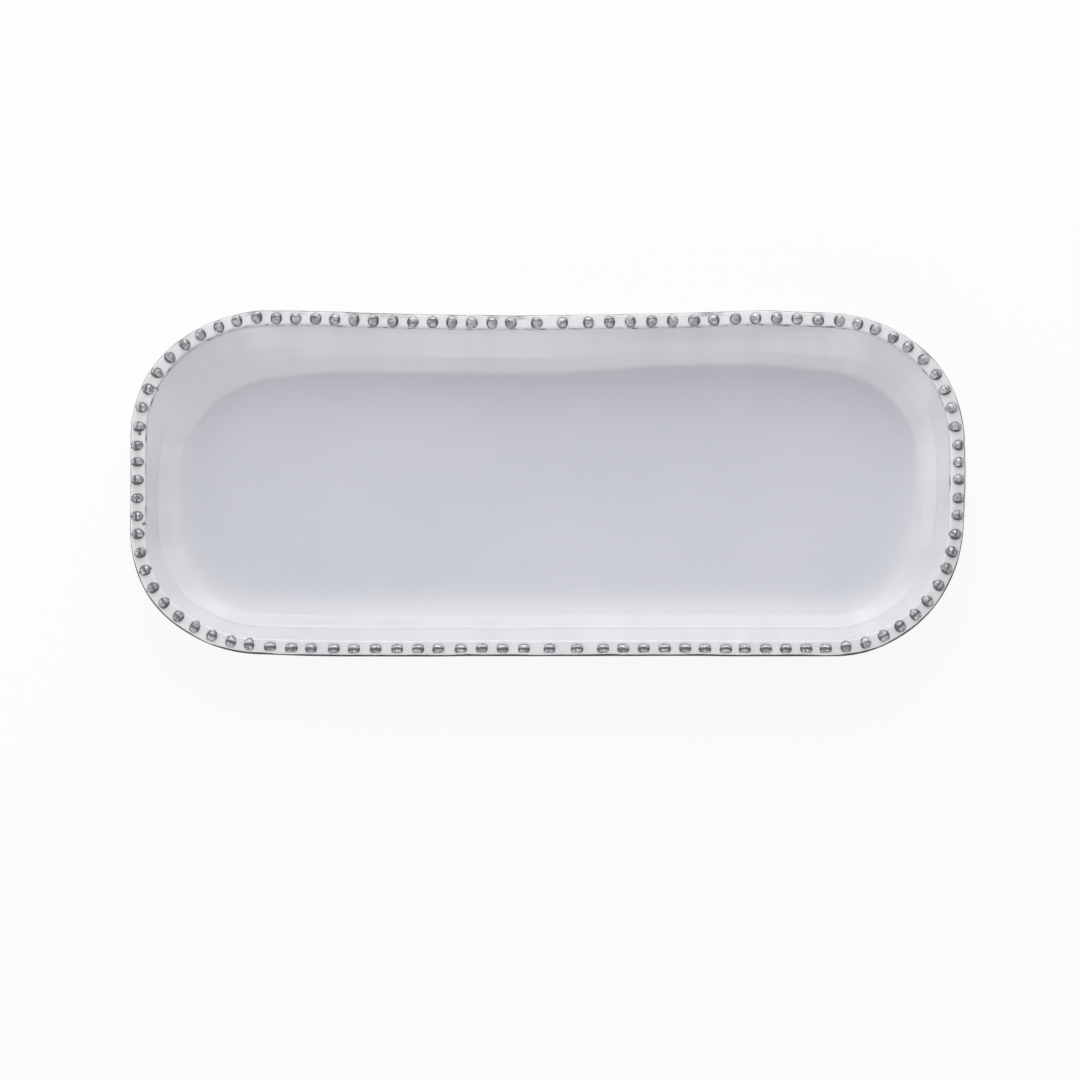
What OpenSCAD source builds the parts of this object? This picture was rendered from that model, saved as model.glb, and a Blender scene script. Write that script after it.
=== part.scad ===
// Long stoneware plate for asparagus, with a beaded rim. All sizes are in millimetres.
// +X runs along the plate, +Y to its back and +Z up. The origin lies under its middle, at table height.

/* [Outline] */
// Length over the rim
plate_length = 350; // [320:1:400]
// Width over the rim
plate_width = 150; // [140:1:180]
// Radius of the four corners of the rim
corner_radius = 56; // [50:1:64]

/* [Clay body] */
// Height of the wall's top above the table
wall_height = 20.6; // [19:0.1:24]
// Width of the wall's flat top, in from the rim's edge
wall_top_width = 6.2; // [5:0.1:7]
// Thickness of the floor
floor_thickness = 4.6; // [4:0.1:6]
// From the rim's edge in to where the well's floor is flat
well_inset = 23; // [21:0.5:25]
// Radius of the hollow where the inner wall rises from the floor
hollow_radius = 8; // [5:0.5:10]
// Slope of the inner wall where it leaves that hollow, in degrees
hollow_slope = 32; // [26:1:36]

/* [Foot ring] */
// From the rim's edge in to the foot, under the curved wall
foot_inset = 31; // [28:0.5:34]
// Height that the foot lifts the floor
foot_height = 1.2; // [0.8:0.1:2]
// Width of the foot
foot_width = 6; // [4:0.5:10]
// Bevel of the foot's two lower edges
foot_bevel = 0.4; // [0.2:0.1:0.7]

/* [Rim band] */
// Thickness of the band that carries the beads
band_thickness = 1.9; // [1.4:0.1:3]
// How far the band's inner edge hangs over the glazed wall
band_overhang = 0.3; // [0:0.1:1]
// Radius of the band's worn upper edges
band_edge_radius = 0.5; // [0.2:0.1:0.8]

/* [Beads] */
// Width of a bead where it sits on the band
bead_diameter = 5.2; // [3.6:0.1:5.6]
// Height of a bead above the band
bead_height = 2.5; // [1.2:0.1:2.6]
// From the rim's edge in to the middle of a bead
bead_inset = 3.3; // [3:0.1:3.6]
// Spacing of the beads along the two long sides
row_pitch = 8.5; // [7:0.1:12]
// Wider spacing of the three gaps at the middle of a long side
middle_pitch = 11; // [8:0.5:14]
// How far right of the middle the back side's wider gaps lie
back_gap_shift = 1; // [-8:0.5:8]
// How far right of the middle the front side's wider gaps lie
front_gap_shift = 6.5; // [-8:0.5:8]
// Spacing of the beads round the corners
corner_pitch = 8.1; // [7:0.1:12]
// Spacing of the beads along the short ends
end_pitch = 7.7; // [7:0.1:12]

/* [Glaze] */
// Thickness of the glaze coats
glaze_thickness = 0.4; // [0.3:0.05:0.6]
// Height above the table at which the outer glaze stops
glaze_line = 4; // [3:0.5:8]

/* [Hidden] */

clay_colour = "#8E8C8A";
glaze_colour = "#CBCCD2";
band_colour = "#E6E6E8";
bead_colour = "#A6A7AB";

// Flat steps in one curve of a section, round one corner of the rim, and round a bead
curve_steps = 12;
corner_steps = 24;
bead_steps = 48;

// The rim is straight between its corners, which turn about these centres
corner_x = plate_length / 2 - corner_radius;
corner_y = plate_width / 2 - corner_radius;
corner_centres = [
    [corner_x, corner_y], [-corner_x, corner_y],
    [-corner_x, -corner_y], [corner_x, -corner_y]
];

// Section through the wall: x is the distance out from the rim's edge, negative inside it, and y the height
floor_top = foot_height + floor_thickness;
band_top = wall_height + band_thickness;
band_width = wall_top_width + glaze_thickness + band_overhang;
foot_inner_inset = foot_inset + foot_width;

// Outer curve: level at the foot, and such that its glaze reaches the rim's edge at the wall's top
wall_rise = wall_height - foot_height;
wall_radius =
    (pow(foot_inset, 2) + pow(wall_rise, 2) - pow(glaze_thickness, 2)) / (2 * (wall_rise + glaze_thickness));
wall_centre = [-foot_inset, foot_height + wall_radius];
// Inner curve: a hollow that starts level at the well's floor, then a longer curve to the wall's top
hollow_centre = [-well_inset, floor_top + hollow_radius];
hollow_end = hollow_centre + hollow_radius * [sin(hollow_slope), -cos(hollow_slope)];
well_chord = [-wall_top_width, wall_height] - hollow_end;
well_turn = atan2(well_chord.y, well_chord.x) - hollow_slope;
well_radius = norm(well_chord) / (2 * sin(well_turn));
well_centre = hollow_end + well_radius * [-sin(hollow_slope), cos(hollow_slope)];

// Angle at which a curve that starts level reaches a height
function angle_at_height(centre, radius, height) = asin((height - centre.y) / radius);
wall_top_angle = angle_at_height(wall_centre, wall_radius, wall_height);
glaze_line_angle = angle_at_height(wall_centre, wall_radius, glaze_line);
outer_glaze_top_angle = angle_at_height(wall_centre, wall_radius + glaze_thickness, wall_height);
hollow_angle = hollow_slope - 90;
well_top_angle = hollow_angle + 2 * well_turn;
well_glaze_radius = well_radius - glaze_thickness;
well_glaze_top_angle = angle_at_height(well_centre, well_glaze_radius, wall_height);

// Points along an arc, from one angle to another, without the first if skip is 1
function arc_points(centre, radius, from, to, skip = 0) = [
    for (step = [skip:curve_steps])
        let (angle = from + (to - from) * step / curve_steps)
        centre + radius * [cos(angle), sin(angle)]
];

// Sweeps a section round the rim: for each quarter turn, one straight side and the corner after it
module round_the_rim() {
    for (turn = [0:3]) {
        is_short_end = turn % 2 == 0;
        rotate(90 * turn)
            translate([is_short_end ? corner_x : corner_y, 0])
                rotate([90, 0, 0])
                    linear_extrude(2 * (is_short_end ? corner_y : corner_x), center = true)
                        translate([corner_radius, 0]) children();
        translate(corner_centres[turn])
            rotate(90 * turn)
                rotate_extrude(angle = 90, $fn = 4 * corner_steps)
                    translate([corner_radius, 0]) children();
    }
}

// Flat slab between the four corner centres
module middle_slab(bottom, top) {
    translate([-corner_x, -corner_y, bottom]) cube([2 * corner_x, 2 * corner_y, top - bottom]);
}

// Pressed slab of clay: floor and curved wall
module clay_body() {
    section = concat(
        [[-corner_radius, foot_height]],
        arc_points(wall_centre, wall_radius, -90, glaze_line_angle),
        arc_points(wall_centre, wall_radius, glaze_line_angle, wall_top_angle, skip = 1),
        arc_points(well_centre, well_radius, well_top_angle, hollow_angle),
        arc_points(hollow_centre, hollow_radius, hollow_angle, -90, skip = 1),
        [[-corner_radius, floor_top]]
    );
    color(clay_colour) {
        round_the_rim() polygon(section);
        middle_slab(foot_height, floor_top);
    }
}

// Bare ring of clay that the plate stands on
module foot_ring() {
    section = [
        [-foot_inset, foot_height],
        [-foot_inner_inset, foot_height],
        [-foot_inner_inset, foot_bevel],
        [-foot_inner_inset + foot_bevel, 0],
        [-foot_inset - foot_bevel, 0],
        [-foot_inset, foot_bevel]
    ];
    color(clay_colour) round_the_rim() polygon(section);
}

// Flat strip of clay along the wall's top, with worn upper edges
module rim_band() {
    edge_height = band_top - band_edge_radius;
    section = concat(
        [[-band_width, wall_height], [0, wall_height]],
        arc_points([-band_edge_radius, edge_height], band_edge_radius, 0, 90),
        arc_points([band_edge_radius - band_width, edge_height], band_edge_radius, 90, 180)
    );
    color(band_colour) round_the_rim() polygon(section);
}

// Coat of glaze over the floor and up the inner wall, to the band
module well_glaze() {
    section = concat(
        [[-corner_radius, floor_top]],
        arc_points(hollow_centre, hollow_radius, -90, hollow_angle),
        arc_points(well_centre, well_radius, hollow_angle, well_top_angle, skip = 1),
        arc_points(well_centre, well_glaze_radius, well_glaze_top_angle, hollow_angle),
        arc_points(hollow_centre, hollow_radius - glaze_thickness, hollow_angle, -90, skip = 1),
        [[-corner_radius, floor_top + glaze_thickness]]
    );
    color(glaze_colour) {
        round_the_rim() polygon(section);
        middle_slab(floor_top, floor_top + glaze_thickness);
    }
}

// Coat of glaze on the outer wall, from the band down to the glaze line
module outer_glaze() {
    section = concat(
        arc_points(wall_centre, wall_radius, wall_top_angle, glaze_line_angle),
        arc_points(wall_centre, wall_radius + glaze_thickness, glaze_line_angle, outer_glaze_top_angle)
    );
    color(glaze_colour) round_the_rim() polygon(section);
}

// One dome of clay, standing on the band
module bead() {
    dome_radius = (pow(bead_diameter / 2, 2) + pow(bead_height, 2)) / (2 * bead_height);
    rotate_extrude($fn = bead_steps)
        intersection() {
            translate([0, bead_height - dome_radius]) circle(dome_radius, $fn = bead_steps);
            square([bead_diameter / 2, bead_height]);
        }
}

// Middles of even spaces, as near the pitch as fits a length
function even_places(length, pitch) =
    let (count = round(length / pitch))
    [for (index = [0:count - 1]) (index + 0.5) * length / count];

// Beads of one part of a long side, as distances out from the middle of its wider gaps
function places_beside_gap(length) =
    let (
        gap_end = 1.5 * middle_pitch,
        count = round((length - gap_end) / row_pitch - 0.5),
        pitch = (length - gap_end) / (count + 0.5)
    )
    concat([middle_pitch / 2], [for (index = [0:count]) gap_end + index * pitch]);

// Beads along a long side, at the back (side = 1) or the front (side = -1)
module bead_row(side, gap_shift) {
    left_places = [for (place = places_beside_gap(corner_x + gap_shift)) gap_shift - place];
    right_places = [for (place = places_beside_gap(corner_x - gap_shift)) gap_shift + place];
    color(bead_colour)
        for (place = concat(left_places, right_places))
            translate([place, side * (plate_width / 2 - bead_inset), band_top]) bead();
}

// Beads along a short end, at the right (side = 1) or the left (side = -1)
module bead_end(side) {
    color(bead_colour)
        for (place = even_places(2 * corner_y, end_pitch))
            translate([side * (plate_length / 2 - bead_inset), place - corner_y, band_top]) bead();
}

// Beads round the corner that follows a number of quarter turns from the right end
module bead_corner(turn) {
    bead_radius = corner_radius - bead_inset;
    corner_length = bead_radius * PI / 2;
    color(bead_colour)
        for (place = even_places(corner_length, corner_pitch)) {
            angle = 90 * (turn + place / corner_length);
            middle = corner_centres[turn] + bead_radius * [cos(angle), sin(angle)];
            translate([middle.x, middle.y, band_top]) bead();
        }
}

module beads_back_row() { bead_row(1, back_gap_shift); }
module beads_front_row() { bead_row(-1, front_gap_shift); }
module beads_left_end() { bead_end(-1); }
module beads_right_end() { bead_end(1); }
module beads_back_right() { bead_corner(0); }
module beads_back_left() { bead_corner(1); }
module beads_front_left() { bead_corner(2); }
module beads_front_right() { bead_corner(3); }

clay_body();
foot_ring();
rim_band();
well_glaze();
outer_glaze();
beads_back_row();
beads_front_row();
beads_left_end();
beads_right_end();
beads_back_left();
beads_back_right();
beads_front_left();
beads_front_right();
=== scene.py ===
import math

import bmesh
import bpy
import numpy as np
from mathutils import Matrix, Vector


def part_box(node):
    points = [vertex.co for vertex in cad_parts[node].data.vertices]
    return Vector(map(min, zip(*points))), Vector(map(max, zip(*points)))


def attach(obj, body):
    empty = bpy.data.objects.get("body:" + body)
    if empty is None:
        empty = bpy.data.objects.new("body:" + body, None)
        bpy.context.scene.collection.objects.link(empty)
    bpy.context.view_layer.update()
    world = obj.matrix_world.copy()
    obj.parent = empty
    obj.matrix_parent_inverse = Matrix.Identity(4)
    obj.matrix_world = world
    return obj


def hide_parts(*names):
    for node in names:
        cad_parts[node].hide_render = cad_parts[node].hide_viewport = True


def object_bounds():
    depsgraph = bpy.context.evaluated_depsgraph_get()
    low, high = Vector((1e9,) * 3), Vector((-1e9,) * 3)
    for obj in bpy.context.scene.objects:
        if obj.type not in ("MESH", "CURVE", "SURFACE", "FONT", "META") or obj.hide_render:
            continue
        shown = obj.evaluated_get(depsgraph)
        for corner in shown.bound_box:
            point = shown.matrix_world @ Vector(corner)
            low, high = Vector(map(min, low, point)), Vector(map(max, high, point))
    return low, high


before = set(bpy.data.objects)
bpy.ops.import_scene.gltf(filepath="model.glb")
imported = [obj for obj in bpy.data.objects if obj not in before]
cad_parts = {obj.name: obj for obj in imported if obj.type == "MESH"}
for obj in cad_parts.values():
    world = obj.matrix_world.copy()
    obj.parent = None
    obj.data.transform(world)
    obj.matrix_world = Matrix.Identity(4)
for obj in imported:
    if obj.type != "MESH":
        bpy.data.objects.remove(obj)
cad_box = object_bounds()

# Clay body
# One slab of dark stoneware, pressed by hand over a mould: a flat floor and a wall that curves up from it.
# Glaze hides most of it. Its underside and a strip above the foot stay bare.
millimetre = 0.001
half_length = cad_box[1].x
half_width = cad_box[1].y
plate_top = cad_box[1].z
wall_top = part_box("clay_body")[1].z
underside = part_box("clay_body")[0].z
floor_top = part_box("well_glaze")[0].z
foot_inset = half_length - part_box("foot_ring")[1].x
corner_radius = 56 * millimetre
wall_top_width = 6.2 * millimetre
glaze_thickness = 0.4 * millimetre
# Points of a mesh that lie closer than this are joined
joined_within = 0.000002

# Steps round the rim: along a long side, along a short end and round a corner
long_side_steps = 120
short_end_steps = 20
corner_steps = 48

# Where hands pushed the soft rim in, or out at one corner: a place on the rim, the push's reach and its depth
hand_pushes = [
    ((-0.009, 0.075), 0.096, 2.3 * millimetre),
    ((0.134, 0.073), 0.038, 1.5 * millimetre),
    ((-0.139, 0.071), 0.036, 0.5 * millimetre),
    ((0.163, -0.046), 0.046, 2.2 * millimetre),
    ((-0.175, -0.022), 0.030, 1.1 * millimetre),
    ((-0.136, -0.073), 0.036, 1.3 * millimetre),
    ((0.055, -0.075), 0.060, 0.2 * millimetre),
    ((0.175, -0.026), 0.022, 0.5 * millimetre),
    ((-0.165, 0.050), 0.024, -0.9 * millimetre),
]
# A push is eased where it ends, by averaging over this many steps to both sides, twice
ease_steps = 5
ease_passes = 2
# Unevenness left by the hands: waves in one turn round the rim, and their depth
rim_waves = [(7, 0.05 * millimetre), (13, 0.05 * millimetre), (22, 0.03 * millimetre)]
rim_droops = [(4, 0.10 * millimetre), (9, 0.06 * millimetre), (17, 0.04 * millimetre)]
wave_start = 1.7


def walk_the_rim():
    """Points round the rim's edge, from the right end on, and the direction straight out from each."""
    places = []
    directions = []
    for turn in range(4):
        start = turn * math.pi / 2
        outward = np.array([math.cos(start), math.sin(start)])
        along = np.array([-outward[1], outward[0]])
        is_short_end = turn % 2 == 0
        out_to_edge = half_length if is_short_end else half_width
        half_run = (half_width if is_short_end else half_length) - corner_radius
        steps = short_end_steps if is_short_end else long_side_steps
        for step in range(steps):
            places.append(out_to_edge * outward + half_run * (2 * step / steps - 1) * along)
            directions.append(outward)
        centre = (out_to_edge - corner_radius) * outward + half_run * along
        for step in range(corner_steps):
            angle = start + math.pi / 2 * step / corner_steps
            direction = np.array([math.cos(angle), math.sin(angle)])
            places.append(centre + corner_radius * direction)
            directions.append(direction)
    return np.array(places), np.array(directions)


rim_places, rim_outward = walk_the_rim()
rim_steps = len(rim_places)
rim_turn = np.linspace(0, 2 * math.pi, rim_steps, endpoint=False)


def uneven(waves):
    """Uneven rise and fall round the rim, never below zero."""
    return sum(depth * (1 + np.sin(count * rim_turn + wave_start * count)) for count, depth in waves)


def pressed(pushes):
    """Depth of a list of pushes at each step round the rim."""
    total = np.zeros(rim_steps)
    for place, reach, depth in pushes:
        away = np.minimum(np.linalg.norm(rim_places - np.array(place), axis=1) / reach, 1)
        total += depth * (1 - away**2)
    for _ in range(ease_passes):
        near = [np.roll(total, shift) for shift in range(-ease_steps, ease_steps + 1)]
        total = sum(near) / len(near)
    return total


pushed_in = uneven(rim_waves) + pressed(hand_pushes)
# The rim stands highest near the middle of the front, and sags from there to the two front corners
front_sag = 1.1 * millimetre
sag_middle = -0.015
sag_flat = 0.020
sag_reach = 0.130
sag_curve = 1.5
sag_side = 0.060
sag_along = np.clip((np.abs(rim_places[:, 0] - sag_middle) - sag_flat) / sag_reach, 0, 1) ** sag_curve
sag_in_front = np.clip(-rim_places[:, 1] / sag_side, 0, 1)
drooped = uneven(rim_droops) + front_sag * sag_along * sag_in_front

# Inset from which the floor's rings close in on the line along the plate's middle
middle_inset = 46 * millimetre
middle_line = np.column_stack([
    np.clip(rim_places[:, 0], half_width - half_length, half_length - half_width),
    np.zeros(rim_steps),
])


def on_plate(inset, height):
    """Points of the hand-pressed plate, for insets from its edge and heights at each step round the rim."""
    near_rim = np.clip(1 - inset / half_width, 0, 1)
    shift = np.minimum(inset, middle_inset) + pushed_in[:, None] * near_rim
    plan = rim_places[:, None] - rim_outward[:, None] * shift[..., None]
    closing = np.clip((inset - middle_inset) / (half_width - middle_inset), 0, 1)
    plan = plan + (middle_line[:, None] - plan) * closing[..., None]
    level = height - drooped[:, None] * (1 - closing) * np.clip(height / plate_top, 0, 1) ** 2
    return np.dstack([plan, level])


def sweep(name, inset, height, sharp_angle=50):
    """Piece made by sweeping a section of insets and heights round the rim."""
    inset = np.broadcast_to(inset, (rim_steps, np.shape(inset)[-1]))
    height = np.broadcast_to(height, inset.shape)
    count = inset.shape[1]
    closes_at_middle = bool(np.all(inset[:, 0] >= half_width))
    points = on_plate(inset, height)
    step, line = np.meshgrid(np.arange(rim_steps), np.arange(count - closes_at_middle), indexing="ij")
    next_step = (step + 1) % rim_steps
    next_line = (line + 1) % count
    corners = [step * count + line, next_step * count + line,
               next_step * count + next_line, step * count + next_line]
    faces = np.stack(corners, axis=-1).reshape(-1, 4)
    mesh = bpy.data.meshes.new(name)
    mesh.from_pydata(points.reshape(-1, 3), [], faces.tolist())
    across = np.dstack([np.broadcast_to(rim_places[:, None], (rim_steps, count, 2)), inset])
    keep_values(mesh, "rim_place", "FLOAT_VECTOR", "vector", across)
    keep_values(mesh, "rim_height", "FLOAT", "value", height)
    return finish_mesh(name, mesh, sharp_angle)


def keep_values(mesh, name, kind, field, values):
    """Stores a value at each point of a mesh, for its material to read."""
    attribute = mesh.attributes.new(name, kind, "POINT")
    attribute.data.foreach_set(field, np.ascontiguousarray(values, dtype=np.float32).ravel())


def finish_mesh(name, mesh, sharp_angle):
    """Object of a mesh whose doubled points are joined and whose faces point out and shade smoothly."""
    work = bmesh.new()
    work.from_mesh(mesh)
    bmesh.ops.remove_doubles(work, verts=work.verts, dist=joined_within)
    bmesh.ops.dissolve_degenerate(work, edges=work.edges, dist=joined_within)
    bmesh.ops.recalc_face_normals(work, faces=work.faces)
    work.to_mesh(mesh)
    work.free()
    mesh.shade_smooth()
    mesh.set_sharp_from_angle(angle=math.radians(sharp_angle))
    piece = bpy.data.objects.new(name, mesh)
    bpy.context.scene.collection.objects.link(piece)
    return piece


def arc(centre_inset, centre_height, radius, start, end, steps):
    """Insets and heights along an arc, with angles in degrees up from level and measured from outward."""
    angles = np.radians(np.linspace(start, end, steps + 1))
    return centre_inset - radius * np.cos(angles), centre_height + radius * np.sin(angles)


def angle_at(height, centre_height, radius):
    """Angle at which such an arc reaches a height."""
    return np.degrees(np.arcsin((height - centre_height) / radius))


# Outer curve of the wall: level at the foot, and its glaze reaches the rim's edge at the wall's top
wall_rise = wall_top - underside
wall_radius = (foot_inset**2 + wall_rise**2 - glaze_thickness**2) / (2 * (wall_rise + glaze_thickness))
wall_centre = underside + wall_radius
wall_top_angle = angle_at(wall_top, wall_centre, wall_radius)
# Slope of the inner wall in degrees, at insets in millimetres from the wall's top to the floor. The slab
# sagged a little in its mould: at the back the wall meets the floor in a clear bend, in front it has a crease
# and the floor rises gently to it, and in the two front corners it stands steepest.
well_inset = 41 * millimetre
back_slopes = (
    [6.2, 9, 11, 13, 15, 17, 19, 22.2, 23.8, 34, 41],
    [56, 49, 51, 43, 45, 37, 38, 33, 3, 0, 0])
front_slopes = (
    [6.2, 8, 10, 11.9, 12.3, 13.1, 13.5, 14.2, 15.2, 19, 20.6, 28, 36, 41],
    [43, 49, 50, 48, 65, 65, 24, 24, 34, 33, 13, 7, 2, 0])
corner_slopes = (
    [6.2, 8, 10, 11.4, 12, 12.8, 13.4, 20, 21.6, 28, 36, 41],
    [57, 62, 61, 57, 56, 50, 34, 26, 12, 7, 2, 0])
# Where along and across the plate each of these slopes begins, and over what length it takes over
front_from = 0.045
front_fade = 0.080
corner_from = 0.125
corner_fade = 0.030
corner_side = -0.018
corner_side_fade = 0.020
front_share = np.clip((front_from - rim_places[:, 1]) / front_fade, 0, 1)[:, None]
corner_share = np.clip((np.abs(rim_places[:, :1]) - corner_from) / corner_fade, 0, 1)
corner_share = corner_share * np.clip((corner_side - rim_places[:, 1:]) / corner_side_fade, 0, 1)
# The section has as many steps above the bend at the wall's foot as in it and below it
bend_insets = [20 * millimetre, 26 * millimetre]
slope_steps = 300
# Where the foot of the inner wall lies further in, or further out: a place, a reach and a depth
foot_pushes = [
    ((-0.150, 0.066), 0.060, 5.5 * millimetre),
    ((-0.175, -0.005), 0.036, -5.0 * millimetre),
    ((0.175, 0.005), 0.042, -4.0 * millimetre),
    ((0.064, 0.075), 0.055, -3.0 * millimetre),
]
foot_pushed_in = pressed(foot_pushes)[:, None]


def slope_line(slopes, thickness, steps):
    """Insets and heights down an inner wall of these slopes, at a thickness above its clay."""
    slope_inset = np.array(slopes[0]) * millimetre
    fine_inset = np.linspace(well_inset, wall_top_width, slope_steps)
    fine_tangent = np.tan(np.radians(np.interp(fine_inset, slope_inset, slopes[1])))
    fine_rise = np.concatenate([[0], np.cumsum((fine_tangent[1:] + fine_tangent[:-1]) / 2)])
    fine_height = floor_top + (wall_top - floor_top) * fine_rise / fine_rise[-1]
    stops = [wall_top_width, *bend_insets, well_inset]
    parts = len(stops) - 1
    inset = np.interp(np.linspace(0, parts, parts * steps + 1), np.arange(parts + 1), stops)
    slope = np.radians(np.interp(inset, slope_inset, slopes[1]))
    height = np.interp(inset, fine_inset[::-1], fine_height[::-1])
    return inset + thickness * np.sin(slope), np.minimum(height + thickness * np.cos(slope), wall_top)


def well_section(thickness, steps):
    """Insets and heights down the inner wall at each step round the rim, from the wall's top to the floor."""
    back = slope_line(back_slopes, thickness, steps)
    front = slope_line(front_slopes, thickness, steps)
    corner = slope_line(corner_slopes, thickness, steps)
    sides = [b + (f - b) * front_share for b, f in zip(back, front)]
    inset, height = [s + (c - s) * corner_share for s, c in zip(sides, corner)]
    way_down = np.clip((inset - wall_top_width) / (well_inset - wall_top_width), 0, 1)
    return inset + foot_pushed_in * np.sin(math.pi * way_down), height


def join_lines(*lines):
    """One line of insets or heights at each step round the rim, from lines that vary round it or don't."""
    return np.concatenate([np.broadcast_to(line, (rim_steps, np.shape(line)[-1])) for line in lines], axis=1)


floor_rings = 10
outer_wall_steps = 24
inner_wall_steps = 8
floor_insets = np.linspace(half_width, well_inset, floor_rings)
under_insets = np.linspace(half_width, foot_inset, floor_rings)
outer_inset, outer_height = arc(foot_inset, wall_centre, wall_radius, -90, wall_top_angle, outer_wall_steps)
inner_inset, inner_height = well_section(0, inner_wall_steps)
clay_inset = join_lines(under_insets[:-1], outer_inset, inner_inset, floor_insets[-2::-1])
clay_height = join_lines(
    np.full(len(under_insets) - 1, underside), outer_height,
    inner_height, np.full(len(floor_insets) - 1, floor_top))
clay_body = sweep("clay_body_visual", clay_inset, clay_height, sharp_angle=40)


def from_hex(text):
    """Colour of a hex code as a shader takes it."""
    parts = [int(text[i:i + 2], 16) / 255 for i in (1, 3, 5)]
    return (*[p / 12.92 if p <= 0.04045 else ((p + 0.055) / 1.055) ** 2.4 for p in parts], 1)


def add_node(tree, kind, inputs=(), **options):
    """Adds a shader node with its options, and sets or links its inputs by name or number."""
    made = tree.nodes.new(kind)
    for option, value in options.items():
        setattr(made, option, value)
    for socket, value in dict(inputs).items():
        if isinstance(value, bpy.types.NodeSocket):
            tree.links.new(value, made.inputs[socket])
        else:
            made.inputs[socket].default_value = value
    return made


def math_node(tree, operation, first, second=0.0):
    """Result of a sum on two values or sockets."""
    return add_node(tree, "ShaderNodeMath", {0: first, 1: second}, operation=operation).outputs[0]


def vector_node(tree, operation, inputs):
    """Result of a sum on places or directions."""
    return add_node(tree, "ShaderNodeVectorMath", inputs, operation=operation).outputs[0]


def ramp(tree, value, low, high, start=0.0, end=1.0):
    """Value eased from start to end while the input goes from low to high."""
    inputs = {"Value": value, "From Min": low, "From Max": high, "To Min": start, "To Max": end}
    return add_node(tree, "ShaderNodeMapRange", inputs, interpolation_type="SMOOTHSTEP").outputs[0]


def noise(tree, where, scale, detail, output="Fac"):
    """Cloudy value from 0 to 1, or colour, at a scale in features per metre."""
    inputs = {"Vector": where, "Scale": scale, "Detail": detail}
    return add_node(tree, "ShaderNodeTexNoise", inputs).outputs[output]


def mix_colour(tree, share, first, second):
    """Colour that goes from the first to the second as the share rises."""
    return add_node(tree, "ShaderNodeMix", {0: share, 6: first, 7: second}, data_type="RGBA").outputs[2]


def place_on_object(tree):
    """Place of a point of the surface on its object, in metres."""
    return add_node(tree, "ShaderNodeTexCoord").outputs["Object"]


def kept_value(tree, name, output):
    """Value stored at the points of a mesh."""
    return add_node(tree, "ShaderNodeAttribute", attribute_name=name).outputs[output]


def split(tree, place):
    """The X, Y and Z of a place."""
    return add_node(tree, "ShaderNodeSeparateXYZ", {0: place}).outputs


def start_group(name, inputs, outputs):
    """Empty shader node group with named value inputs and outputs, its input sockets and its output node."""
    group = bpy.data.node_groups.new(name, "ShaderNodeTree")
    for socket, default in inputs.items():
        made = group.interface.new_socket(socket, in_out="INPUT", socket_type="NodeSocketFloat")
        made.default_value = default
    for socket in outputs:
        group.interface.new_socket(socket, in_out="OUTPUT", socket_type="NodeSocketFloat")
    return group, group.nodes.new("NodeGroupInput").outputs, group.nodes.new("NodeGroupOutput")


def place_group(tree, group, **inputs):
    """Outputs of a node group placed in a material with its own values."""
    named = {socket.replace("_", " "): value for socket, value in inputs.items()}
    return add_node(tree, "ShaderNodeGroup", named, node_tree=group).outputs


def start_material(name):
    """New material with its node tree and its principled shader."""
    material = bpy.data.materials.new(name)
    material.use_nodes = True
    return material, material.node_tree, material.node_tree.nodes["Principled BSDF"]


def add_bump(tree, shader, height, distance, strength):
    """Gives a shader a bumpy surface from a height."""
    bump = add_node(tree, "ShaderNodeBump", {"Height": height, "Distance": distance, "Strength": strength})
    tree.links.new(bump.outputs["Normal"], shader.inputs["Normal"])


# Grain of fired clay: fine sand, with a few darker and lighter grits
clay_grain, grain_in, grain_out = start_group("clay grain", {"Sand size": 1.0}, ["Shade", "Height"])
where = place_on_object(clay_grain)
grain_where = vector_node(clay_grain, "SCALE", {0: where, "Scale": grain_in["Sand size"]})
sand = noise(clay_grain, grain_where, scale=1400, detail=4)
cloud = noise(clay_grain, grain_where, scale=60, detail=4)
grit = add_node(clay_grain, "ShaderNodeTexVoronoi", {"Vector": grain_where, "Scale": 900}).outputs["Distance"]
grit_mask = ramp(clay_grain, grit, 0.12, 0.26, 1, 0)
shade = math_node(clay_grain, "ADD", math_node(clay_grain, "MULTIPLY", sand, 0.6),
                  math_node(clay_grain, "MULTIPLY", cloud, 0.5))
shade = math_node(clay_grain, "SUBTRACT", shade, math_node(clay_grain, "MULTIPLY", grit_mask, 0.35))
clay_grain.links.new(shade, grain_out.inputs["Shade"])
height = math_node(clay_grain, "ADD", sand, math_node(clay_grain, "MULTIPLY", grit_mask, 0.8))
clay_grain.links.new(height, grain_out.inputs["Height"])

clay_relief = 0.12 * millimetre
bare_clay, tree, shader = start_material("bare stoneware")
grain = place_group(tree, clay_grain, Sand_size=1.0)
colour = mix_colour(tree, ramp(tree, grain["Shade"], 0.25, 0.85), from_hex("#95949A"), from_hex("#B6B5B5"))
tree.links.new(colour, shader.inputs["Base Color"])
tree.links.new(ramp(tree, grain["Shade"], 0.2, 0.9, 0.72, 0.92), shader.inputs["Roughness"])
add_bump(tree, shader, grain["Height"], clay_relief, 0.6)

clay_body.data.materials.append(bare_clay)
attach(clay_body, "root")
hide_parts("clay_body")

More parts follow.
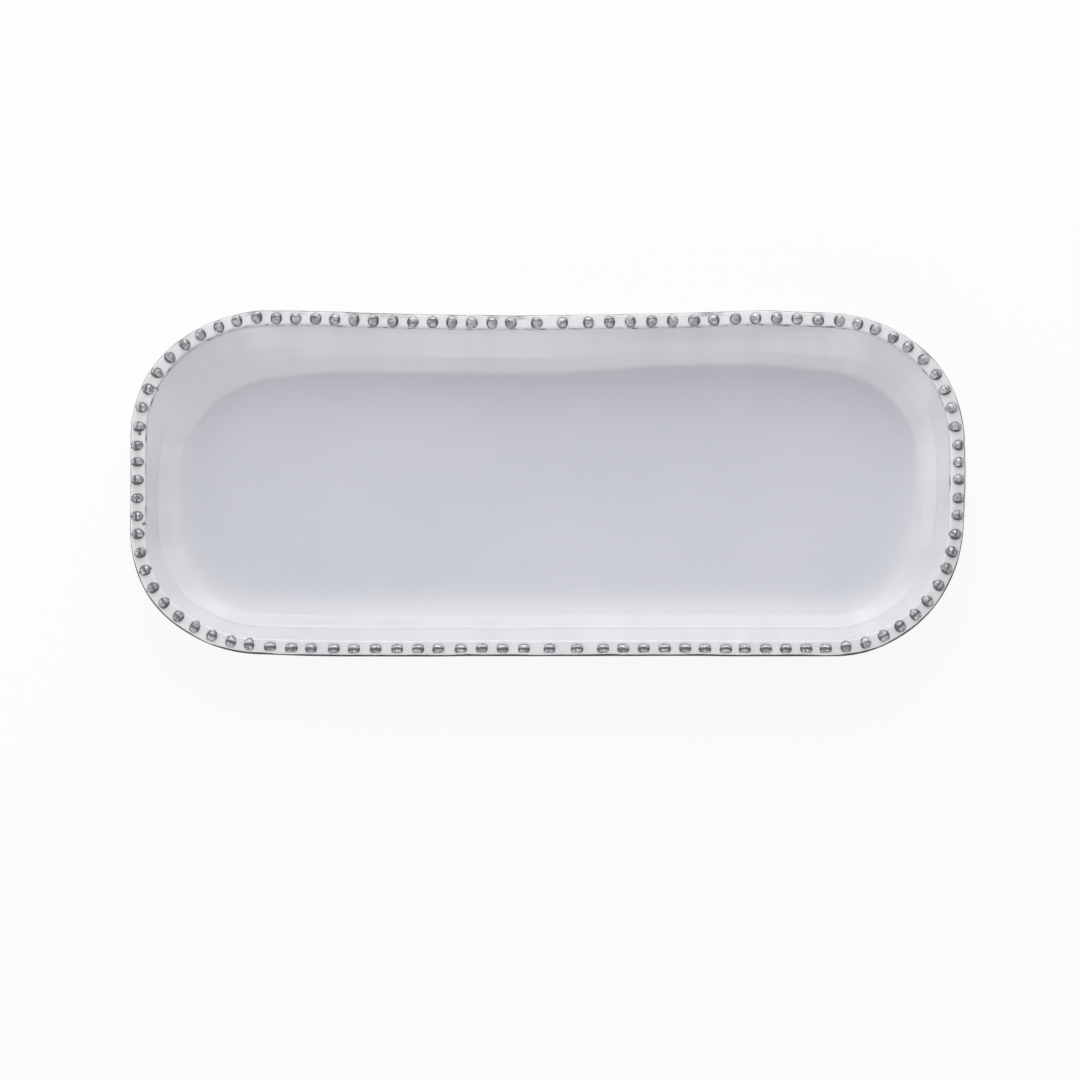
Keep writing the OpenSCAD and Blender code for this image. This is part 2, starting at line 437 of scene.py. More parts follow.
# Foot ring
# The bare clay ring that the plate stands on, trimmed from the slab and sponged round at its edges.
# It carries no glaze, so that the plate doesn't stick in the kiln.
foot_width = 6 * millimetre
foot_round = 0.45 * millimetre
foot_round_steps = 4
foot_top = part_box("foot_ring")[1].z
foot_outer = arc(foot_inset + foot_round, foot_round, foot_round, 0, -90, foot_round_steps)
foot_inner = arc(foot_inset + foot_width - foot_round, foot_round, foot_round, -90, -180, foot_round_steps)
foot_inset_line = np.concatenate([
    [foot_inset], foot_outer[0], [foot_inset + foot_width / 2], foot_inner[0], [foot_inset + foot_width]])
foot_height_line = np.concatenate([[foot_top], foot_outer[1], [0], foot_inner[1], [foot_top]])
foot_ring = sweep("foot_ring_visual", foot_inset_line, foot_height_line)
foot_ring.data.materials.append(bare_clay)
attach(foot_ring, "root")
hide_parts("foot_ring")

# Rim band
# A flat strip of the same clay, luted on the top of the wall to carry the beads. Its outer side leans in.
# White glaze covers it, but has run off its lower outer edge, where the dark clay shows as a wavy line.
band_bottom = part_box("rim_band")[0].z
band_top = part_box("rim_band")[1].z
band_width = wall_top_width + glaze_thickness + 0.3 * millimetre
band_arris = 0.28 * millimetre
band_shoulder = 0.66 * millimetre
band_lip = 1.2 * millimetre
band_lean = 23
edge_steps = 6
lip_steps = 10
flat_points = 8
inner_points = 4
under_points = 5
lean_angle = math.radians(band_lean)
lean_rise = band_top - band_bottom - band_shoulder - band_arris
shoulder_inset = band_arris + (
    lean_rise * math.sin(lean_angle) + band_shoulder - band_arris) / math.cos(lean_angle)
outer_arris = arc(band_arris, band_bottom + band_arris, band_arris, -90, band_lean, edge_steps)
outer_shoulder = arc(shoulder_inset, band_top - band_shoulder, band_shoulder, band_lean, 90, edge_steps)
inner_edge = arc(band_width - band_lip, band_top - band_lip, band_lip, 90, 180, lip_steps)
band_flat = np.linspace(shoulder_inset, band_width - band_lip, flat_points)[1:-1]
inner_face = np.linspace(band_top - band_lip, band_bottom, inner_points)[1:]
under_face = np.linspace(band_width, band_arris, under_points)[1:-1]
band_inset = np.concatenate([
    outer_arris[0], outer_shoulder[0], band_flat, inner_edge[0],
    np.full(len(inner_face), band_width), under_face])
band_height = np.concatenate([
    outer_arris[1], outer_shoulder[1], np.full(len(band_flat), band_top), inner_edge[1],
    inner_face, np.full(len(under_face), band_bottom)])
# The strip was cut by hand, so its two edges wander in a little, each in its own way
cut_outer = uneven([(31, 0.05 * millimetre), (47, 0.05 * millimetre)])
cut_inner = uneven([(27, 0.08 * millimetre), (41, 0.08 * millimetre)])
share_in = band_inset / band_width
wandering = cut_outer[:, None] * (1 - share_in) - cut_inner[:, None] * share_in
rim_band = sweep("rim_band_visual", band_inset + wandering, band_height)

# Breaks in a glaze: it thins where a surface turns sharply, until the clay shows. The same ragged marks also
# carry painted shade and painted reflections on the band's inner edge and on the beads.
break_and_shade, break_in, break_out = start_group(
    "glaze break and painted shade", {"Thinness": 0.0, "Spread": 0.5, "Length": 90.0}, ["Worn"])
where = place_on_object(break_and_shade)
long_breaks = noise(break_and_shade, where, break_in["Length"], detail=3)
short_breaks = noise(break_and_shade, where, scale=900, detail=2)
breaks = math_node(break_and_shade, "ADD", math_node(break_and_shade, "MULTIPLY", long_breaks, 0.75),
                   math_node(break_and_shade, "MULTIPLY", short_breaks, 0.25))
breaks = math_node(break_and_shade, "SUBTRACT", breaks, 0.5)
breaks = math_node(break_and_shade, "MULTIPLY", breaks, break_in["Spread"])
wear_and_shade = math_node(break_and_shade, "ADD", break_in["Thinness"], breaks)
break_and_shade.links.new(ramp(break_and_shade, wear_and_shade, 0.42, 0.6), break_out.inputs["Worn"])

# Mottle of a poured glaze: clouds, soft runs down the wall, and a skin that isn't quite flat
glaze_mottle, mottle_in, mottle_out = start_group(
    "glaze mottle", {"Cloud scale": 22.0, "Run scale": 90.0}, ["Shade", "Gloss", "Height"])
run_stretch = (1, 1, 0.12)
where = place_on_object(glaze_mottle)
rim_place = kept_value(glaze_mottle, "rim_place", "Vector")
along_rim = vector_node(glaze_mottle, "MULTIPLY", {0: rim_place, 1: run_stretch})
rim_inset = split(glaze_mottle, rim_place)["Z"]
on_wall = ramp(glaze_mottle, rim_inset, 16 * millimetre, 26 * millimetre, 1.0, 0.0)
clouds = noise(glaze_mottle, where, mottle_in["Cloud scale"], detail=4)
runs = noise(glaze_mottle, along_rim, mottle_in["Run scale"], detail=2)
runs = math_node(glaze_mottle, "SUBTRACT", runs, 0.5)
runs = math_node(glaze_mottle, "ADD", math_node(glaze_mottle, "MULTIPLY", runs, on_wall), 0.5)
skin = noise(glaze_mottle, where, scale=260, detail=2)
mottle = math_node(glaze_mottle, "ADD", math_node(glaze_mottle, "MULTIPLY", clouds, 0.5),
                   math_node(glaze_mottle, "MULTIPLY", runs, 0.5))
glaze_mottle.links.new(ramp(glaze_mottle, mottle, 0.3, 0.7), mottle_out.inputs["Shade"])
glaze_mottle.links.new(ramp(glaze_mottle, clouds, 0.3, 0.7), mottle_out.inputs["Gloss"])
surface = math_node(glaze_mottle, "ADD", skin, math_node(glaze_mottle, "MULTIPLY", runs, 1.5))
glaze_mottle.links.new(surface, mottle_out.inputs["Height"])

# Dribbles of the beads' silver on the glaze at the left end: a place, and half a length and half a width
dribbles = [
    ((-0.1656, 0.0400, 0), 2.2 * millimetre, 0.7 * millimetre),
    ((-0.1710, 0.0200, 0), 0.7 * millimetre, 0.9 * millimetre),
    ((-0.1680, -0.0185, 0), 0.9 * millimetre, 1.1 * millimetre),
]
ragged_size = 2.4 * millimetre
lustre_dribbles, dribble_in, dribble_out = start_group("lustre dribbles", {"Strength": 0.8}, ["Mask"])
where = place_on_object(lustre_dribbles)
ragged = noise(lustre_dribbles, where, scale=700, detail=2, output="Color")
ragged = vector_node(lustre_dribbles, "SUBTRACT", {0: ragged, 1: (0.5, 0.5, 0.5)})
ragged = vector_node(lustre_dribbles, "SCALE", {0: ragged, "Scale": ragged_size})
ragged = vector_node(lustre_dribbles, "ADD", {0: where, 1: ragged})
dribbled = 0.0
for dribble_place, length, width in dribbles:
    shift = vector_node(lustre_dribbles, "SUBTRACT", {0: ragged, 1: dribble_place})
    shift = vector_node(lustre_dribbles, "MULTIPLY", {0: shift, 1: (1 / length, 1 / width, 0)})
    away = add_node(lustre_dribbles, "ShaderNodeVectorMath", {0: shift}, operation="LENGTH").outputs["Value"]
    mark = ramp(lustre_dribbles, away, 0.6, 1.2, 1.0, 0.0)
    dribbled = math_node(lustre_dribbles, "MAXIMUM", dribbled, mark)
dribbled = math_node(lustre_dribbles, "MULTIPLY", dribbled, dribble_in["Strength"])
lustre_dribbles.links.new(dribbled, dribble_out.inputs["Mask"])

glaze_relief = 0.2 * millimetre
rim_glaze, tree, shader = start_material("rim glaze over dark clay")
mottle = place_group(tree, glaze_mottle, Cloud_scale=60.0, Run_scale=140.0)
grain = place_group(tree, clay_grain, Sand_size=1.0)
where = place_on_object(tree)
rim_at = split(tree, kept_value(tree, "rim_place", "Vector"))
inset = rim_at["Z"]
up_face = math_node(tree, "SUBTRACT", kept_value(tree, "rim_height", "Fac"), band_bottom)
# The dark line reaches from the lower edge to a wavy height, lowest at the left end and highest at the back
left_end = (-0.150, -0.070)
back_side = (0.020, 0.060)
line_blur = 0.15 * millimetre
line_low = ramp(tree, rim_at["X"], *left_end, 0.70 * millimetre, 1.05 * millimetre)
line_low = ramp(tree, rim_at["Y"], *back_side, line_low, 1.64 * millimetre)
line_high = ramp(tree, rim_at["X"], *left_end, 1.40 * millimetre, 1.60 * millimetre)
line_high = ramp(tree, rim_at["Y"], *back_side, line_high, 1.92 * millimetre)
line_top = ramp(tree, noise(tree, where, scale=70, detail=3), 0.3, 0.7, line_low, line_high)
past_line = math_node(tree, "SUBTRACT", up_face, line_top)
outer_side = ramp(tree, inset, 2.0 * millimetre, 3.0 * millimetre, 1.0, 0.0)
outer_worn = ramp(tree, past_line, -line_blur, line_blur, 1.0, 0.0)
outer_worn = math_node(tree, "MULTIPLY", outer_worn, outer_side)
# Along the inner edge painted shadow under the band: dark dashes, most of all at the back, where the glaze
# also breaks
shadowed_back = ramp(tree, rim_at["Y"], -0.060, 0.020)
inner_edge_shade = ramp(tree, inset, band_width - 0.9 * millimetre, band_width - 0.3 * millimetre)
inner_shadow = math_node(tree, "MULTIPLY", inner_edge_shade, ramp(tree, shadowed_back, 0.0, 1.0, 0.30, 0.47))
inner_shadow_and_wear = place_group(tree, break_and_shade, Thinness=inner_shadow, Spread=0.9, Length=230.0)["Worn"]
wear_and_shade = math_node(tree, "MAXIMUM", outer_worn, math_node(tree, "MULTIPLY", inner_shadow_and_wear, 0.75))
white = mix_colour(tree, mottle["Shade"], from_hex("#E6E7EA"), from_hex("#F0F0F3"))
# Painted shade: the white greys towards the inner edge all round, in place of a highlight on its lip
white = mix_colour(tree, math_node(tree, "MULTIPLY", inner_edge_shade, 0.5), white, from_hex("#C4C5C9"))
white = mix_colour(tree, place_group(tree, lustre_dribbles)["Mask"], white, from_hex("#505053"))
dark = mix_colour(tree, grain["Shade"], from_hex("#363435"), from_hex("#524F4E"))
tree.links.new(mix_colour(tree, wear_and_shade, white, dark), shader.inputs["Base Color"])
tree.links.new(ramp(tree, wear_and_shade, 0.0, 1.0, 0.2, 0.95), shader.inputs["Roughness"])
add_bump(tree, shader, math_node(tree, "SUBTRACT", mottle["Height"], wear_and_shade), glaze_relief, 0.25)

rim_band.data.materials.append(rim_glaze)
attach(rim_band, "root")
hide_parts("rim_band")

# Well glaze
# White glaze poured over the floor and the inner wall, up to the band.
# On the floor it is a little cooler and greyer than on the wall, and painted darker towards the back as shade
# from the back wall; on the wall it lies in soft streaks.
under_steps = 6
over_steps = 40
under_rings = 6
over_rings = 14
under_arc = [line[:, ::-1] for line in well_section(0, under_steps)]
over_arc = well_section(glaze_thickness, over_steps)
under_floor = np.linspace(half_width, well_inset, under_rings)[:-1]
over_floor = np.linspace(well_inset, half_width, over_rings)[1:]
well_inset_line = join_lines(under_floor, under_arc[0], over_arc[0], over_floor)
well_height_line = join_lines(
    np.full(len(under_floor), floor_top), under_arc[1],
    over_arc[1], np.full(len(over_floor), floor_top + glaze_thickness))
well_glaze = sweep("well_glaze_visual", well_inset_line, well_height_line)

glaze_roughness = (0.22, 0.265)
well_white, tree, shader = start_material("white glaze poured inside")
mottle = place_group(tree, glaze_mottle, Cloud_scale=14.0, Run_scale=70.0)
where = place_on_object(tree)
at = split(tree, where)
up_wall = ramp(tree, at["Z"], 6.3 * millimetre, 7.8 * millimetre)
# Painted shade: the floor's colour darkens towards the back, where the back wall shades it
to_shaded_back = ramp(tree, at["Y"], -0.055, 0.055)
front_floor = mix_colour(tree, mottle["Shade"], from_hex("#D3D5DE"), from_hex("#DADBE3"))
shaded_back_floor = mix_colour(tree, mottle["Shade"], from_hex("#C6C7D0"), from_hex("#CCCDD5"))
floor_colour = mix_colour(tree, to_shaded_back, front_floor, shaded_back_floor)
wall_colour = mix_colour(tree, mottle["Shade"], from_hex("#D6D7DC"), from_hex("#E1E1E5"))
colour = mix_colour(tree, up_wall, floor_colour, wall_colour)
# In front a grey line is painted along the wall's crease: painted shade of the crease, where the glaze also
# lies thin
crease_inset = 13.7 * millimetre
rim_at = split(tree, kept_value(tree, "rim_place", "Vector"))
from_crease = math_node(tree, "ABSOLUTE", math_node(tree, "SUBTRACT", rim_at["Z"], crease_inset))
thin_crease_shade = ramp(tree, from_crease, 0.1 * millimetre, 0.8 * millimetre, 0.40, 0.0)
crease_front = ramp(tree, rim_at["Y"], -0.073, -0.055, 1.0, 0.0)
crease_uneven = ramp(tree, noise(tree, where, scale=30, detail=2), 0.35, 0.6, 0.5, 1.0)
thin_crease_shade = math_node(tree, "MULTIPLY", thin_crease_shade, crease_front)
thin_crease_shade = math_node(tree, "MULTIPLY", thin_crease_shade, crease_uneven)
colour = mix_colour(tree, thin_crease_shade, colour, from_hex("#B9BABF"))
colour = mix_colour(tree, place_group(tree, lustre_dribbles)["Mask"], colour, from_hex("#5A5A5C"))
tree.links.new(colour, shader.inputs["Base Color"])
tree.links.new(ramp(tree, mottle["Gloss"], 0.0, 1.0, *glaze_roughness), shader.inputs["Roughness"])
add_bump(tree, shader, mottle["Height"], glaze_relief, 0.12)

well_glaze.data.materials.append(well_white)
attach(well_glaze, "root")
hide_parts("well_glaze")

# Outer glaze
# The same white glaze outside, where the plate was dipped by hand to an uneven line above the foot.
# The coat ends there in a thick rolled lip on the bare clay.
glaze_line = 4 * millimetre
line_drop = 0.5 * millimetre
line_waves = [
    (3, 0.16 * millimetre), (5, 0.14 * millimetre), (11, 0.10 * millimetre), (26, 0.05 * millimetre)]
line_height = glaze_line - line_drop + uneven(line_waves)
lip_swell = 0.22 * millimetre
lip_length = 1.3 * millimetre
lip_middle = 0.6
lip_spread = 0.6
roll_length = 0.5 * millimetre
coat_steps = 30
coat_bunching = 1.6
coat_back_steps = 9
top_angle = angle_at(wall_top, wall_centre, wall_radius + glaze_thickness)
low_angle = angle_at(line_height, wall_centre, wall_radius)[:, None]
share_up = np.linspace(0, 1, coat_steps + 1)[None, :] ** coat_bunching
coat_angle = low_angle + (top_angle - low_angle) * share_up
way_up = np.radians(coat_angle - low_angle) * wall_radius
swell = lip_swell * np.exp(-((way_up / lip_length - lip_middle) / lip_spread) ** 2)
roll = np.sqrt(np.clip(1 - (1 - np.clip(way_up / roll_length, 0, 1)) ** 2, 0, 1))
coat = (glaze_thickness + swell) * roll
share_down = np.linspace(1, 0, coat_back_steps + 1)[None, :-1]
back_angle = low_angle + (wall_top_angle - low_angle) * share_down
coat_inset = np.concatenate([
    foot_inset - (wall_radius + coat) * np.cos(np.radians(coat_angle)),
    foot_inset - wall_radius * np.cos(np.radians(back_angle))], axis=1)
coat_height = np.concatenate([
    wall_centre + (wall_radius + coat) * np.sin(np.radians(coat_angle)),
    wall_centre + wall_radius * np.sin(np.radians(back_angle))], axis=1)
outer_glaze = sweep("outer_glaze_visual", coat_inset, coat_height)

outer_white, tree, shader = start_material("white glaze dipped outside")
mottle = place_group(tree, glaze_mottle, Cloud_scale=20.0, Run_scale=60.0)
# Painted light, with thicker glaze low down: the glaze is painted lighter towards the foot, where light from
# the floor falls, and darker up the wall
thin_shaded_glaze = mix_colour(tree, mottle["Shade"], from_hex("#CACBCE"), from_hex("#D3D3D6"))
thick_lit_glaze = mix_colour(tree, mottle["Shade"], from_hex("#E7E7E9"), from_hex("#EEEEEF"))
up_coat = ramp(tree, kept_value(tree, "rim_height", "Fac"), 5 * millimetre, 19 * millimetre)
tree.links.new(mix_colour(tree, up_coat, thick_lit_glaze, thin_shaded_glaze), shader.inputs["Base Color"])
tree.links.new(ramp(tree, mottle["Gloss"], 0.0, 1.0, *glaze_roughness), shader.inputs["Roughness"])
add_bump(tree, shader, mottle["Height"], glaze_relief, 0.15)

outer_glaze.data.materials.append(outer_white)
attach(outer_glaze, "root")
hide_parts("outer_glaze")

# Beads
# Small domes of clay, rolled and pressed on the band one by one, so that no two are quite alike.
# They carry the band's white glaze, and silver lustre brushed over it in strokes along the rim, with
# reflections and shade painted into its colour.
bead_radius = 2.6 * millimetre
bead_height = plate_top - band_top
bead_sink = 0.35 * millimetre
bead_sides = 28
bead_sharp_angle = 60
crown_rings = 9
crown_width = 0.96
foot_rings = 4
foot_spread = 0.12
foot_angle = math.radians(18)
# How far a bead may slip along and across the band, be squeezed to two and to three lobes, tilt, shrink and
# be pressed flatter, and how far the dark band painted across it as a reflection may wander
bead_slip = (0.35 * millimetre, 0.10 * millimetre)
bead_squeeze = 0.07
two_lobes = 0.6
three_lobes = 0.4
bead_tilt = 0.05
bead_shrink = (0.95, 1.0)
bead_pressed = (0.84, 0.94)
reflection_band_wander = 0.12
bead_draws = np.random.default_rng(104)


def bead_middles(node):
    """Middles of a run's beads, each from its own island of the CAD mesh, in order along the run."""
    work = bmesh.new()
    work.from_mesh(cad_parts[node].data)
    bmesh.ops.remove_doubles(work, verts=work.verts, dist=joined_within)
    waiting = set(work.verts)
    middles = []
    while waiting:
        edge = [waiting.pop()]
        island = list(edge)
        while edge:
            near = {link.other_vert(point) for point in edge for link in point.link_edges} & waiting
            waiting -= near
            island += near
            edge = list(near)
        corners = np.array([point.co for point in island])
        middles.append((corners.min(axis=0) + corners.max(axis=0))[:2] / 2)
    work.free()
    return sorted(middles, key=lambda middle: (round(middle[0], 4), round(middle[1], 4)))


def bead_section():
    """Radii and heights of a bead's section as shares of its own, from the foot up to the crown."""
    climb = np.linspace(0, 1, foot_rings, endpoint=False)
    foot_radii = math.cos(foot_angle) * crown_width + foot_spread * (1 - climb) ** 2
    foot_heights = math.sin(foot_angle) * climb
    angles = np.linspace(foot_angle, math.pi / 2, crown_rings + 1)
    radii = np.concatenate([foot_radii, crown_width * np.cos(angles)])
    return radii, np.concatenate([foot_heights, np.sin(angles)])


def make_beads(node, shade_low, shade_high, reflection_band_at, stretch_along, stretch_across, shift, squareness):
    """One run of beads as one piece. The first two numbers are how dark a bead's painted shade and
    reflections may be where its silver is thin, at least and at most, and the third is where the dark band
    painted across it as a reflection lies, from -1 inside to 1 outside. The stretches are its radii along and
    across the band as shares of a plain bead's. Shift is how far in it sits in millimetres. Squareness 2 is
    round."""
    radii, heights = bead_section()
    rings = len(radii)
    around = np.linspace(0, 2 * math.pi, bead_sides, endpoint=False)
    plan = (np.abs(np.cos(around)) ** squareness + np.abs(np.sin(around)) ** squareness) ** (-1 / squareness)
    place_along = radii[None, :] * np.cos(around)[:, None]
    place_out = radii[None, :] * np.sin(around)[:, None]
    bead_places = np.dstack([place_along, place_out, np.broadcast_to(heights, place_out.shape)])
    step, ring = np.meshgrid(np.arange(bead_sides), np.arange(rings - 1), indexing="ij")
    next_step = (step + 1) % bead_sides
    corners = [step * rings + ring, next_step * rings + ring,
               next_step * rings + ring + 1, step * rings + ring + 1]
    bead_faces = np.stack(corners, axis=-1).reshape(-1, 4)
    bottom = (np.arange(bead_sides)[::-1] * rings).tolist()
    points, faces, places, coats = [], [], [], []
    for middle in bead_middles(node):
        nearest = int(np.argmin(np.linalg.norm(rim_places - middle, axis=1)))
        outward = rim_outward[nearest]
        along = np.array([outward[1], -outward[0]])
        slip = bead_draws.uniform(-1, 1, 2) * bead_slip
        middle = middle - outward * (pushed_in[nearest] + shift * millimetre + slip[1]) + along * slip[0]
        squeeze = bead_draws.uniform(0.0, bead_squeeze)
        lean = bead_draws.uniform(0, 2 * math.pi, 3)
        stretch = np.array([stretch_along, stretch_across]) * bead_draws.uniform(*bead_shrink, 2)
        lopsided = 1 + squeeze * two_lobes * np.sin(2 * around + lean[0])
        lopsided = (lopsided + squeeze * three_lobes * np.sin(3 * around + lean[1])) * plan
        offset = bead_radius * lopsided[:, None, None] * (
            stretch[0] * place_along[..., None] * along + stretch[1] * place_out[..., None] * outward)
        tilt = 1 - bead_tilt * (1 + np.cos(around - lean[2]))[:, None] * radii[None, :]
        tall = (bead_height + bead_sink) * bead_draws.uniform(*bead_pressed)
        base = band_top - drooped[nearest] * (band_top / plate_top) ** 2 - bead_sink
        ring_points = np.dstack([middle + offset, base + tall * heights[None, :] * tilt])
        start = len(points) * bead_sides * rings
        points.append(ring_points.reshape(-1, 3))
        faces += (bead_faces + start).tolist() + [[corner + start for corner in bottom]]
        places.append(bead_places.reshape(-1, 3))
        bead_shade_depth = bead_draws.uniform(shade_low, shade_high)
        reflection_band = reflection_band_at + bead_draws.uniform(-reflection_band_wander, reflection_band_wander)
        coats.append(np.tile([bead_shade_depth, reflection_band, bead_draws.uniform(-1, 1)], (bead_sides * rings, 1)))
    mesh = bpy.data.meshes.new(node + "_visual")
    mesh.from_pydata(np.concatenate(points), [], faces)
    keep_values(mesh, "bead_place", "FLOAT_VECTOR", "vector", np.concatenate(places))
    keep_values(mesh, "bead_coat_and_shade", "FLOAT_VECTOR", "vector", np.concatenate(coats))
    return finish_mesh(node + "_visual", mesh, bead_sharp_angle)


bead_silver, tree, shader = start_material("silver lustre on white glaze")
where = place_on_object(tree)
place = split(tree, kept_value(tree, "bead_place", "Vector"))
# Each bead's coat holds how dark its painted shade and thin silver are, the place of the dark band painted
# across it as a reflection, and a number of its own
coat = split(tree, kept_value(tree, "bead_coat_and_shade", "Vector"))
from_middle = math_node(tree, "ADD", math_node(tree, "POWER", place["X"], 2.0),
                        math_node(tree, "POWER", place["Y"], 2.0))
from_middle = math_node(tree, "SQRT", from_middle)
wander = math_node(tree, "SUBTRACT", noise(tree, where, scale=420, detail=2), 0.5)
wander = math_node(tree, "MULTIPLY", wander, 0.5)
painted_to = math_node(tree, "ADD", from_middle, math_node(tree, "MULTIPLY", wander, 0.5))
painted = ramp(tree, painted_to, 0.95, 1.05, 1.0, 0.0)
# Painted highlight on the front row: white glaze shows along a line on the crown and on the lowest outer
# side, in place of reflections of the bright surroundings
in_front = ramp(tree, split(tree, where)["Y"], -0.0685, -0.0660, 1.0, 0.0)
across = math_node(tree, "ADD", place["Y"], math_node(tree, "MULTIPLY", wander, 0.3))
from_line = math_node(tree, "ABSOLUTE", math_node(tree, "ADD", across, 0.26))
white_glint = ramp(tree, from_line, 0.12, 0.28, 0.6, 0.0)
white_glint = math_node(tree, "MAXIMUM", white_glint, ramp(tree, across, 0.84, 1.0))
white_glint = math_node(tree, "MULTIPLY", white_glint, in_front)
painted = math_node(tree, "MULTIPLY", painted, math_node(tree, "SUBTRACT", 1.0, white_glint))
# Painted reflection and shade darken the silver: a band along the rim across each bead, widest in front,
# stands for a dark reflection, and the inner side in front and the two sides, one more than the other, carry
# painted shade
inner_dark = math_node(tree, "MULTIPLY", ramp(tree, across, -0.88, -0.62, 0.7, 0.0), in_front)
from_reflection_band = math_node(tree, "ADD", math_node(tree, "SUBTRACT", place["Y"], coat["Y"]), wander)
reflection_band_reach = ramp(tree, in_front, 0.0, 1.0, 0.34, 0.50)
reflection_band_dark = ramp(tree, math_node(tree, "ABSOLUTE", from_reflection_band), 0.05, reflection_band_reach, 0.65, 0.0)
sideways = math_node(tree, "ADD", place["X"], math_node(tree, "MULTIPLY", coat["Z"], 0.2))
side_dark = ramp(tree, math_node(tree, "ABSOLUTE", sideways), 0.45, 0.85)
shade_and_thin = math_node(tree, "MAXIMUM", reflection_band_dark, side_dark)
shade_and_thin = math_node(tree, "MAXIMUM", shade_and_thin, inner_dark)
# Hairs of the brush leave streaks along each stroke
stroke_along = math_node(tree, "MULTIPLY", place["X"], 0.35)
stroke_own = math_node(tree, "MULTIPLY", coat["Z"], 40.0)
stroke_place = add_node(tree, "ShaderNodeCombineXYZ", {0: stroke_along, 1: place["Y"], 2: stroke_own})
stroke = math_node(tree, "SUBTRACT", noise(tree, stroke_place.outputs[0], scale=2.6, detail=1), 0.5)
shade_and_thin = math_node(tree, "MULTIPLY", shade_and_thin, coat["X"])
shade_and_thin = math_node(tree, "ADD", shade_and_thin, math_node(tree, "MULTIPLY", stroke, 0.6))
shade_and_wear = place_group(tree, break_and_shade, Thinness=shade_and_thin, Spread=0.6, Length=420.0)["Worn"]
speck = ramp(tree, noise(tree, where, scale=1100, detail=2), 0.52, 0.60)
speck_worn = math_node(tree, "MULTIPLY", speck, ramp(tree, coat["X"], 0.8, 1.1))
wear_and_shade = math_node(tree, "MULTIPLY", math_node(tree, "MAXIMUM", shade_and_wear, speck_worn), painted)
mottle = place_group(tree, glaze_mottle, Cloud_scale=300.0, Run_scale=200.0)
white = mix_colour(tree, mottle["Shade"], from_hex("#DCDDE0"), from_hex("#E6E7E9"))
silver = mix_colour(tree, ramp(tree, stroke, -0.2, 0.2), from_hex("#B9BABD"), from_hex("#86878B"))
colour = mix_colour(tree, painted, white, silver)
# Where the silver is worn, and where shade and reflection are painted, the bead turns dark grey
colour = mix_colour(tree, wear_and_shade, colour, from_hex("#66666A"))
tree.links.new(colour, shader.inputs["Base Color"])
tree.links.new(math_node(tree, "MULTIPLY", painted, 0.6), shader.inputs["Metallic"])
tree.links.new(ramp(tree, wear_and_shade, 0.0, 1.0, 0.42, 0.52), shader.inputs["Roughness"])
add_bump(tree, shader, math_node(tree, "SUBTRACT", mottle["Height"], wear_and_shade), glaze_relief, 0.2)

# How dark each run's beads are painted where their silver is thin and shaded, at least and at most, where the
# dark band painted across them as a reflection lies, how the beads were pressed (radii along and across the
# band), how far in from their marks they sit, and how square they are. The front row was pressed hardest.
bead_runs = {
    "beads_back_row": (0.70, 0.95, 0.10, 1.01, 1.13, 0.6, 2.0),
    "beads_front_row": (1.15, 1.40, 0.22, 1.04, 0.80, -0.35, 2.9),
    "beads_left_end": (0.95, 1.20, 0.15, 0.87, 1.13, -0.2, 2.0),
    "beads_right_end": (0.80, 1.05, 0.25, 0.95, 1.10, -0.35, 2.0),
    "beads_back_left": (0.80, 1.05, 0.15, 0.96, 1.13, 0.15, 2.0),
    "beads_back_right": (0.70, 0.95, 0.15, 0.98, 1.13, 0.5, 2.0),
    "beads_front_left": (1.00, 1.25, 0.05, 0.94, 1.10, 0.2, 2.0),
    "beads_front_right": (0.95, 1.20, 0.05, 0.98, 1.10, 0.2, 2.0),
}
for node, looks in bead_runs.items():
    beads = make_beads(node, *looks)
    beads.data.materials.append(bead_silver)
    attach(beads, "root")
    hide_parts(node)

# Studio
# A plain white floor, a low and a high window behind the plate with a strip lamp over them, a window on the
# left, a dim window and a small card lamp in front, and the camera, which looks down steeply from the front.
floor_size = 2.4
floor_reflects = 0.93
floor_glows = 0.87
ambient = 0.48


def seen_as_background(tree):
    """One where the background is seen, also in gloss or glass, and zero where it only gives light."""
    ray = add_node(tree, "ShaderNodeLightPath").outputs
    seen = math_node(tree, "MAXIMUM", ray["Is Camera Ray"], ray["Is Glossy Ray"])
    return math_node(tree, "MAXIMUM", seen, ray["Is Transmission Ray"])


edge = floor_size / 2
floor_corners = [(-edge, -edge, 0), (edge, -edge, 0), (edge, edge, 0), (-edge, edge, 0)]
floor_mesh = bpy.data.meshes.new("studio_floor")
floor_mesh.from_pydata(floor_corners, [], [(0, 1, 2, 3)])
studio_floor = bpy.data.objects.new("studio_floor", floor_mesh)
bpy.context.scene.collection.objects.link(studio_floor)
floor_white, tree, shader = start_material("studio floor")
shader.inputs["Base Color"].default_value = (floor_reflects, floor_reflects, floor_reflects, 1)
shader.inputs["Roughness"].default_value = 0.9
shader.inputs["Specular IOR Level"].default_value = 0.0
plain_white = add_node(tree, "ShaderNodeEmission", {"Color": (1, 1, 1, 1), "Strength": 1.0}).outputs[0]
glow_share = math_node(tree, "MULTIPLY", seen_as_background(tree), floor_glows)
floor_mix = add_node(tree, "ShaderNodeMixShader", {0: glow_share, 1: shader.outputs[0], 2: plain_white})
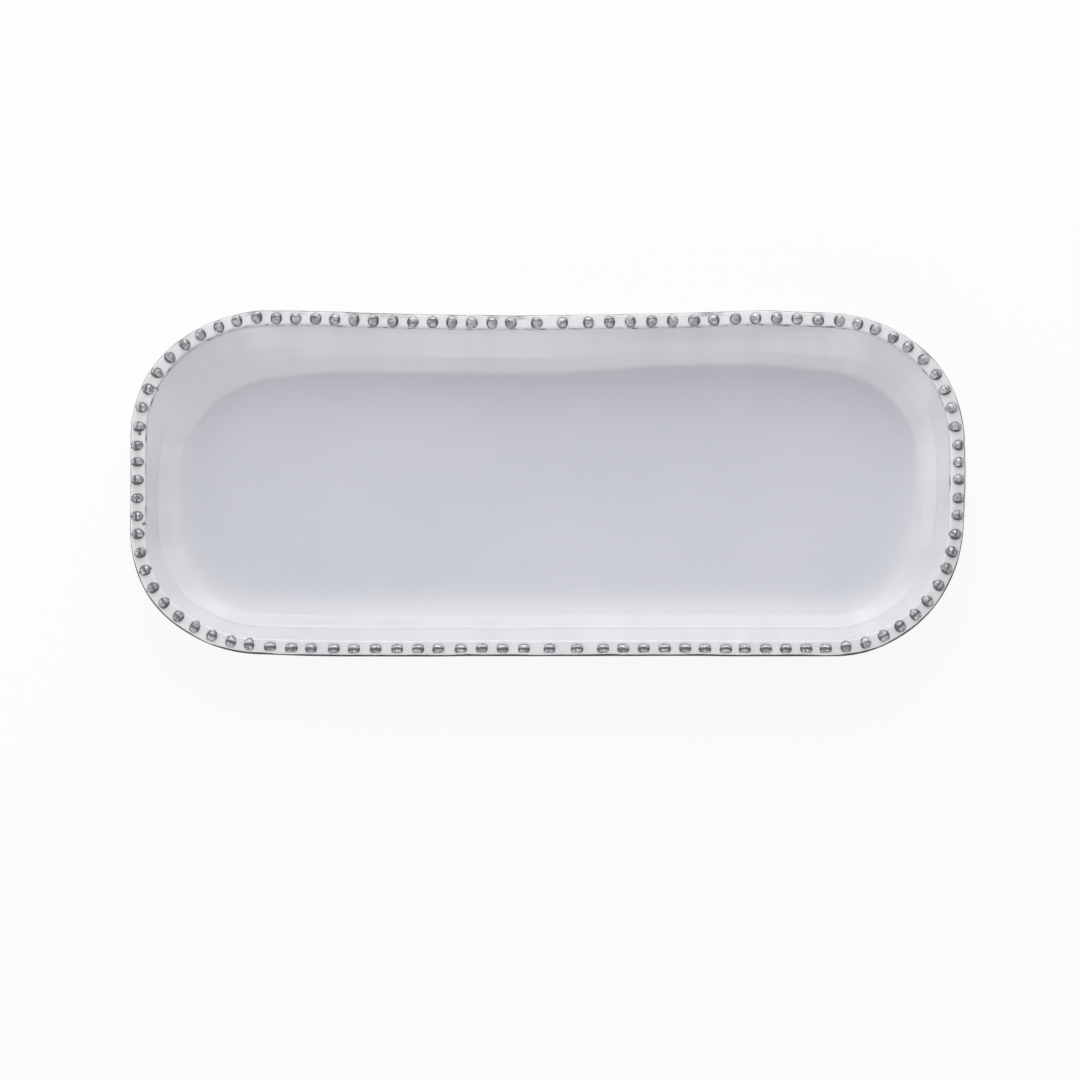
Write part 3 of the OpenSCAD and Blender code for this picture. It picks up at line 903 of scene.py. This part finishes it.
tree.links.new(floor_mix.outputs[0], tree.nodes["Material Output"].inputs["Surface"])
floor_mesh.materials.append(floor_white)

world = bpy.data.worlds.new("studio")
bpy.context.scene.world = world
world.use_nodes = True
tree = world.node_tree
sky = tree.nodes["Background"]
sky.inputs["Color"].default_value = (1, 1, 1, 1)
tree.links.new(ramp(tree, seen_as_background(tree), 0.0, 1.0, ambient, 1.0), sky.inputs["Strength"])

lamps_aim = Vector((0, 0, 0.02))


def softbox(name, place, width, height, glow):
    """Soft rectangular lamp. Glow is how bright its face is, where 1 is a white wall in full light."""
    lamp = bpy.data.lights.new(name, "AREA")
    lamp.shape = "RECTANGLE"
    lamp.size = width
    lamp.size_y = height
    lamp.energy = glow * math.pi * width * height
    holder = bpy.data.objects.new(name, lamp)
    holder.location = place
    holder.rotation_euler = (lamps_aim - Vector(place)).to_track_quat("-Z", "Y").to_euler()
    holder.visible_camera = False
    bpy.context.scene.collection.objects.link(holder)


softbox("back_window_low", (0.0, 1.3, 0.36), width=1.6, height=0.7, glow=0.95)
softbox("back_window_high", (0.0, 1.2, 0.68), width=1.6, height=0.5, glow=2.65)
softbox("back_strip", (0.0, 0.76, 1.05), width=0.7, height=0.5, glow=2.6)
softbox("left_window", (-1.3, 0.0, 0.36), width=1.8, height=0.7, glow=1.05)
softbox("front_window", (0.0, -1.25, 0.45), width=2.4, height=0.7, glow=0.6)
softbox("front_card", (-0.03, -1.24, 0.45), width=0.26, height=0.7, glow=2.4)

view_height = math.radians(76)
view_distance = 1.35
view_aim = Vector((-3.2 * millimetre, -25.9 * millimetre, band_top))
camera = bpy.data.objects.new("camera", bpy.data.cameras.new("camera"))
camera.data.sensor_width = 36
camera.data.lens = 108.35
camera.location = view_aim + view_distance * Vector((0, -math.cos(view_height), math.sin(view_height)))
camera.rotation_euler = (view_aim - camera.location).to_track_quat("-Z", "Y").to_euler()
bpy.context.scene.collection.objects.link(camera)
bpy.context.scene.camera = camera
bpy.context.scene.view_settings.view_transform = "Standard"
